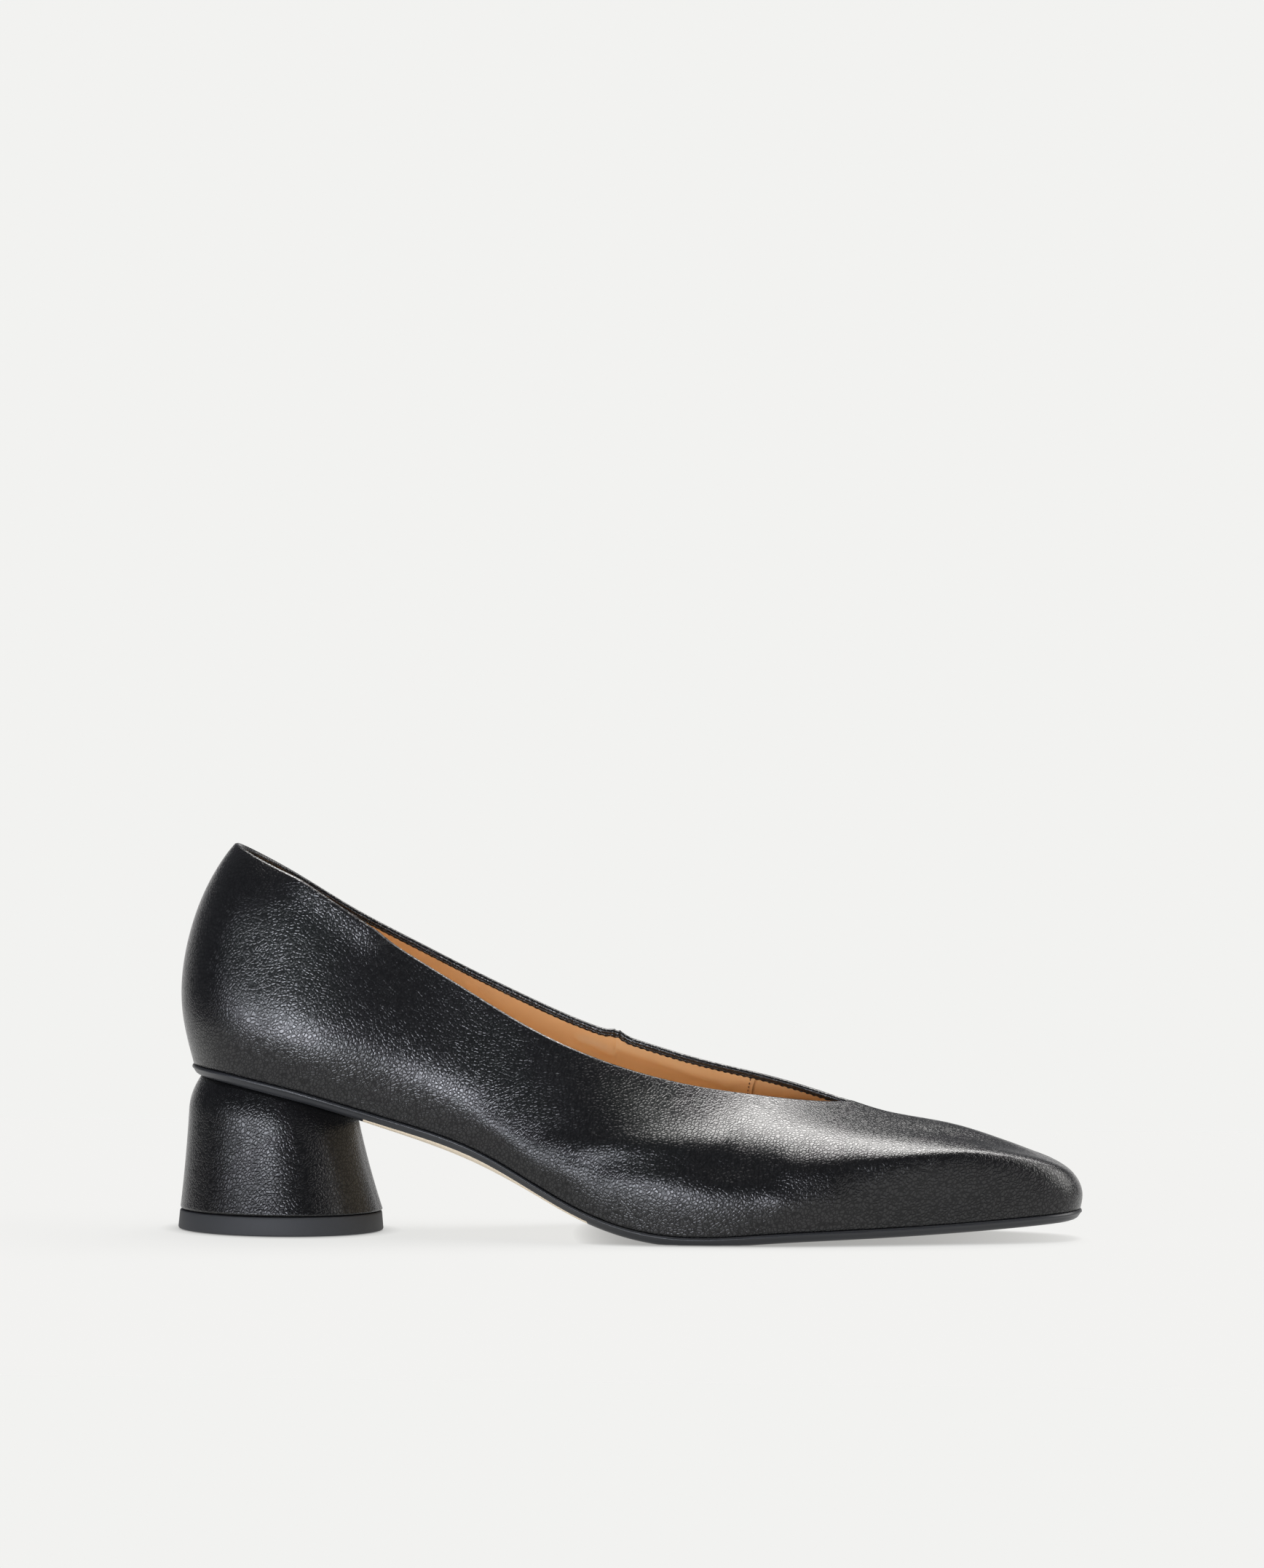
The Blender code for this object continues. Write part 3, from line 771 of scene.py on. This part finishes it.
def add_heel(last, finish):
    """Leather cover of the heel, from the floor circle up to the oval of the seat, with a lap in front."""
    lap, step = np.radians([HEEL_LAP_ANGLE, HEEL_LAP_STEP])
    angle = np.concatenate([
        np.linspace(0, -lap, HEEL_LAP_SIDES, endpoint=False),
        np.linspace(-lap, 2 * step - 2 * math.pi, HEEL_SIDES),
        [step - 2 * math.pi],
    ])
    out = np.column_stack([np.cos(angle), np.sin(angle), np.zeros(len(angle))])
    stands = HEEL_LAP * (1 - smooth(-angle, 0, lap))
    floor_middle = np.array([HEEL_X, 0.0, TOP_PIECE + HEEL_FOOT_GAP])
    foot = out * HEEL_RADIUS + floor_middle
    seat = out * (SEAT_HALF_LENGTH, SEAT_HALF_WIDTH, 0.0) + (SEAT_X, 0.0, 0.0)
    behind = (1 - out[:, :1]) / 2

    def under_sole(points):
        height = last.bottom(points) - SOLE - HEEL_SEAT_GAP
        return np.column_stack([points[:, :2], height])

    top = under_sole(seat - SEAT_ROUND * behind * out)
    rows = [floor_middle + share * (foot - floor_middle) for share in (0.0, HEEL_RIM_SHARE)]
    for level in np.linspace(0, 1, HEEL_ROWS + 1) ** HEEL_ROW_POWER:
        turn = max(0.0, (level - ROUND_FROM) / (1 - ROUND_FROM)) ** 2
        low = max(0.0, 1 - level * (HEEL_HEIGHT - TOP_PIECE) / HEEL_TURN)
        waist = HEEL_WAIST * 4 * level * (1 - level) + HEEL_TURN_IN * (1 - math.sqrt(1 - low**2))
        stand = stands[:, None] - waist - turn * SEAT_ROUND * behind
        ring = foot + level * (seat - foot) + stand * out
        ring[:, 2] = foot[:, 2] + level * (top[:, 2] - foot[:, 2])
        rows.append(ring)
    middle = np.array([SEAT_X, 0.0, 0.0])
    for share in HEEL_TOP_SHARES:
        rows.append(under_sole(middle + share * (top - middle)))
    mesh = bmesh.new()
    weave(mesh, rows)
    add_piece("heel_cover", mesh, [finish], "heel")


def add_top_piece(finish):
    """Rubber lift: a turned profile with rounded edges."""
    angle = np.linspace(0, -2 * math.pi, HEEL_SIDES, endpoint=False)
    out = np.column_stack([np.cos(angle), np.sin(angle), np.zeros(HEEL_SIDES)])
    high = TOP_PIECE_RADIUS - TOP_PIECE_TAPER
    profile = [(0.0, 0.0), (TOP_PIECE_RADIUS - TOP_PIECE_RIM, 0.0)]
    for turn in np.radians(ROUND_TURNS):
        profile.append((
            TOP_PIECE_RADIUS - TOP_PIECE_ROUND * (1 - math.sin(turn)),
            TOP_PIECE_ROUND * (1 - math.cos(turn)),
        ))
    for turn in np.radians(ROUND_TURNS[::-1]):
        profile.append((
            high - TOP_PIECE_ROUND * (1 - math.sin(turn)),
            TOP_PIECE - TOP_PIECE_ROUND * (1 - math.cos(turn)),
        ))
    profile.append((0.0, TOP_PIECE))
    mesh = bmesh.new()
    weave(mesh, [out * radius + (HEEL_X, 0.0, height) for radius, height in profile])
    add_piece("top_piece", mesh, [finish], "heel_top_piece")


def add_node(tree, kind, inputs=None, **settings):
    """Adds a shader node, with its inputs given as values or as other nodes' outputs."""
    made = tree.nodes.new(kind)
    for name, value in settings.items():
        setattr(made, name, value)
    for name, value in (inputs or {}).items():
        if isinstance(value, bpy.types.NodeSocket):
            tree.links.new(value, made.inputs[name])
        else:
            made.inputs[name].default_value = value
    return made


def new_material(name):
    made = bpy.data.materials.new(name)
    made.use_nodes = True
    return made, made.node_tree, made.node_tree.nodes["Principled BSDF"]


def vary(tree, shader, share, colours, roughness):
    """Varies a shader's colour and roughness, each between two values, by a share."""
    shade = add_node(
        tree, "ShaderNodeMix",
        {"Factor": share, MIX_FIRST: (*colours[0], 1.0), MIX_SECOND: (*colours[1], 1.0)},
        data_type="RGBA",
    )
    tree.links.new(shade.outputs[MIX_OUT], shader.inputs["Base Color"])
    gloss = add_node(
        tree, "ShaderNodeMapRange",
        {"Value": share, "To Min": roughness[0], "To Max": roughness[1]},
    )
    tree.links.new(gloss.outputs["Result"], shader.inputs["Roughness"])


def emboss(tree, shader, height, depth):
    """Gives a shader's surface the relief of a height from 0 to 1, with a depth in metres."""
    bump = add_node(tree, "ShaderNodeBump", {"Height": height, "Strength": 1.0, "Distance": depth})
    tree.links.new(bump.outputs["Normal"], shader.inputs["Normal"])


def leather(name, colours, roughness, cell, depth, crease_shaded_specular):
    """Grained leather: cells, longer along a slant, with finer pores, and creases between them whose lower
    specular level is painted shade.
    """
    made, tree, shader = new_material(name)
    place = add_node(tree, "ShaderNodeTexCoord").outputs["Object"]
    wander = add_node(
        tree, "ShaderNodeTexNoise",
        {"Vector": place, "Scale": 1 / (WANDER_LENGTH * cell), "Detail": FINE_DETAIL},
    )
    shift = add_node(
        tree, "ShaderNodeVectorMath",
        {0: wander.outputs["Color"], 1: (0.5, 0.5, 0.5)}, operation="SUBTRACT",
    )
    bent = add_node(
        tree, "ShaderNodeVectorMath",
        {0: shift.outputs["Vector"], 1: (cell * WANDER,) * 3, 2: place}, operation="MULTIPLY_ADD",
    )
    cells = add_node(
        tree, "ShaderNodeMapping",
        {
            "Vector": bent.outputs["Vector"],
            "Rotation": tuple(np.radians(GRAIN_TURN)),
            "Scale": (cell, cell, cell * GRAIN_STRETCH),
        },
        vector_type="TEXTURE",
    ).outputs["Vector"]
    edges = add_node(
        tree, "ShaderNodeTexVoronoi", {"Vector": cells, "Scale": 1.0}, feature="DISTANCE_TO_EDGE",
    )
    plateau = add_node(
        tree, "ShaderNodeMapRange",
        {"Value": edges.outputs["Distance"], "From Min": 0.0, "From Max": GRAIN_CREASE},
        interpolation_type="SMOOTHSTEP",
    ).outputs["Result"]
    # Painted shade: the creases get a lower specular level than the cells' tops, which stands in for their
    # shadow
    crease_shade = add_node(
        tree, "ShaderNodeMapRange", {"Value": plateau, "To Min": crease_shaded_specular[0], "To Max": crease_shaded_specular[1]},
    )
    tree.links.new(crease_shade.outputs["Result"], shader.inputs["Specular IOR Level"])
    pores = add_node(
        tree, "ShaderNodeTexNoise", {"Vector": cells, "Scale": PORES, "Detail": FINE_DETAIL},
    )
    height = add_node(
        tree, "ShaderNodeMath",
        {0: pores.outputs["Fac"], 1: PORE_HEIGHT, 2: plateau}, operation="MULTIPLY_ADD",
    )
    emboss(tree, shader, height.outputs["Value"], depth)
    patches = add_node(
        tree, "ShaderNodeTexNoise",
        {"Vector": place, "Scale": PATCHES_PER_METRE, "Detail": PATCH_DETAIL},
    )
    vary(tree, shader, patches.outputs["Fac"], colours, roughness)
    return made


def worn(name, colours, roughness, grain, depth):
    """Smooth finish whose colour, gloss and height vary a little, over lengths along x, y and z."""
    made, tree, shader = new_material(name)
    place = add_node(tree, "ShaderNodeTexCoord").outputs["Object"]
    stretched = add_node(
        tree, "ShaderNodeMapping", {"Vector": place, "Scale": grain}, vector_type="TEXTURE",
    )
    noise = add_node(
        tree, "ShaderNodeTexNoise",
        {"Vector": stretched.outputs["Vector"], "Scale": 1.0, "Detail": PATCH_DETAIL},
    ).outputs["Fac"]
    vary(tree, shader, noise, colours, roughness)
    emboss(tree, shader, noise, depth)
    return made


def make_floor():
    """Pale square under the shoe, which glows, with a painted contact shadow dimming the glow near the shoe,
    and takes its shadow.
    """
    data = bpy.data.meshes.new("floor")
    mesh = bmesh.new()
    bmesh.ops.create_grid(mesh, x_segments=1, y_segments=1, size=FLOOR_HALF)
    mesh.to_mesh(data)
    mesh.free()
    floor = bpy.data.objects.new("floor", data)
    floor.location.z = -FLOOR_DROP
    bpy.context.scene.collection.objects.link(floor)
    finish, tree, shader = new_material("pale_floor")
    shader.inputs["Base Color"].default_value = (FLOOR_SHADE,) * 3 + (1.0,)
    shader.inputs["Roughness"].default_value = 1.0
    shader.inputs["Specular IOR Level"].default_value = 0.0
    shader.inputs["Emission Color"].default_value = (*BACKGROUND, 1.0)
    # Painted contact shadow: the glow is dimmed where the shoe stands close over the floor
    painted_contact_shadow = add_node(
        tree, "ShaderNodeAmbientOcclusion", {"Distance": CONTACT}, samples=CONTACT_SAMPLES,
    )
    glow = add_node(
        tree, "ShaderNodeMapRange",
        {"Value": painted_contact_shadow.outputs["AO"], "To Min": FLOOR_GLOW * CONTACT_SHADE, "To Max": FLOOR_GLOW},
    )
    tree.links.new(glow.outputs["Result"], shader.inputs["Emission Strength"])
    data.materials.append(finish)


def direction(azimuth, elevation):
    """Unit vector towards an azimuth and elevation, in degrees."""
    a, e = math.radians(azimuth), math.radians(elevation)
    return (math.sin(a) * math.cos(e), -math.cos(a) * math.cos(e), math.sin(e))


def make_world():
    """Soft lights and backdrop that the shoe reflects, and a plain background that the camera sees."""
    world = bpy.data.worlds.new("studio")
    world.use_nodes = True
    tree = world.node_tree
    tree.nodes.clear()
    toward = add_node(tree, "ShaderNodeTexCoord").outputs["Generated"]
    total = tuple(DARK_ROOM * COOL)
    for box in SOFT_BOXES:
        facing = add_node(
            tree, "ShaderNodeVectorMath",
            {0: toward, 1: direction(box.azimuth, box.elevation)}, operation="DOT_PRODUCT",
        )
        lit = add_node(
            tree, "ShaderNodeMapRange",
            {
                "Value": facing.outputs["Value"],
                "From Min": math.cos(math.radians(box.outer)),
                "From Max": math.cos(math.radians(box.inner)),
            },
            interpolation_type="SMOOTHSTEP",
        )
        total = add_node(
            tree, "ShaderNodeVectorMath",
            {0: lit.outputs["Result"], 1: tuple(box.radiance * box.tint), 2: total},
            operation="MULTIPLY_ADD",
        ).outputs["Vector"]
    parts = add_node(tree, "ShaderNodeSeparateXYZ", {"Vector": toward}).outputs
    full, none = np.sin(np.radians(BACKDROP_TOP))
    low = add_node(
        tree, "ShaderNodeMapRange",
        {"Value": parts["Z"], "From Min": none, "From Max": full}, interpolation_type="SMOOTHSTEP",
    )
    behind = add_node(
        tree, "ShaderNodeMapRange",
        {"Value": parts["Y"], "From Min": BACKDROP_SIDES[0], "From Max": BACKDROP_SIDES[1]},
    )
    backdrop = add_node(
        tree, "ShaderNodeMath",
        {0: low.outputs["Result"], 1: behind.outputs["Result"]}, operation="MULTIPLY",
    )
    total = add_node(
        tree, "ShaderNodeVectorMath",
        {0: backdrop.outputs["Value"], 1: tuple(BACKDROP * WARM), 2: total}, operation="MULTIPLY_ADD",
    ).outputs["Vector"]
    lights = add_node(tree, "ShaderNodeBackground", {"Color": total})
    seen = add_node(tree, "ShaderNodeBackground", {"Color": (*BACKGROUND, 1.0)})
    camera = add_node(tree, "ShaderNodeLightPath").outputs["Is Camera Ray"]
    mixed = add_node(
        tree, "ShaderNodeMixShader",
        {0: camera, 1: lights.outputs["Background"], 2: seen.outputs["Background"]},
    )
    add_node(tree, "ShaderNodeOutputWorld", {"Surface": mixed.outputs["Shader"]})
    bpy.context.scene.world = world
    bpy.context.scene.view_settings.view_transform = "Standard"


def make_camera():
    """A long lens at the photograph's angle to the shoe, aimed above it and rolled a little."""
    roll = math.radians(VIEW_ROLL)
    right_px = ANCHOR_PIXEL[0] - FRAME_WIDTH / 2
    down_px = ANCHOR_PIXEL[1] - FRAME_HEIGHT / 2
    right_px, down_px = (
        right_px * math.cos(roll) + down_px * math.sin(roll),
        down_px * math.cos(roll) - right_px * math.sin(roll),
    )
    rise = math.radians(VIEW_ELEVATION)
    back = VIEW_DISTANCE * math.cos(rise)
    height = MIDDLE_HEIGHT + VIEW_DISTANCE * math.sin(rise)
    pitch = math.atan2(height, back) - math.atan2(down_px, VIEW_DISTANCE * PIXELS_PER_MM)
    forward = np.array([0.0, math.cos(pitch), -math.sin(pitch)])
    level = np.array([1.0, 0.0, 0.0])
    upright = np.cross(level, forward)
    right = level * math.cos(roll) + upright * math.sin(roll)
    up = upright * math.cos(roll) - level * math.sin(roll)
    data = bpy.data.cameras.new("camera")
    data.sensor_width = SENSOR
    data.lens = SENSOR * VIEW_DISTANCE * PIXELS_PER_MM / FRAME_HEIGHT
    data.clip_end = CLIP_END
    camera = bpy.data.objects.new("camera", data)
    bpy.context.scene.collection.objects.link(camera)
    turned = Matrix(np.column_stack([right, up, -forward]).tolist()).to_4x4()
    turned.translation = in_scene((ANCHOR_X - right_px / PIXELS_PER_MM, -back, height))
    camera.matrix_world = turned
    bpy.context.scene.camera = camera


def main():
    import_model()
    make_camera()
    make_world()
    make_floor()
    last = Last()
    shell = Shell(last)
    black = leather(
        "pebbled_leather", colours=((0.003, 0.003, 0.0034), (0.005, 0.005, 0.0054)),
        roughness=(0.22, 0.28), cell=0.0009, depth=0.00004, crease_shaded_specular=(0.28, 0.6),
    )
    tan = leather(
        "lining_leather", colours=((0.6, 0.375, 0.18), (0.68, 0.445, 0.225)),
        roughness=(0.45, 0.58), cell=0.0004, depth=0.00001, crease_shaded_specular=(0.4, 0.5),
    )
    edge = worn(
        "sole_edge", colours=((0.009, 0.0095, 0.011), (0.02, 0.0215, 0.025)),
        roughness=(0.3, 0.46), grain=(0.009, 0.009, 0.0004), depth=0.00003,
    )
    natural = worn(
        "natural_sole", colours=((0.58, 0.48, 0.34), (0.74, 0.64, 0.5)),
        roughness=(0.5, 0.7), grain=(0.003, 0.0007, 0.0007), depth=0.00004,
    )
    thread = worn(
        "thread", colours=((0.1, 0.05, 0.03), (0.2, 0.11, 0.06)),
        roughness=(0.6, 0.8), grain=(0.0003,) * 3, depth=0.00003,
    )
    rubber = worn(
        "rubber", colours=((0.024, 0.025, 0.028), (0.036, 0.038, 0.042)),
        roughness=(0.55, 0.7), grain=(0.0004,) * 3, depth=0.00001,
    )
    add_upper(last, shell, black)
    add_lining(shell, tan, thread)
    add_sock(last, shell, tan)
    add_outsole(last, shell, edge, natural)
    add_heel(last, black)
    add_top_piece(rubber)


main()
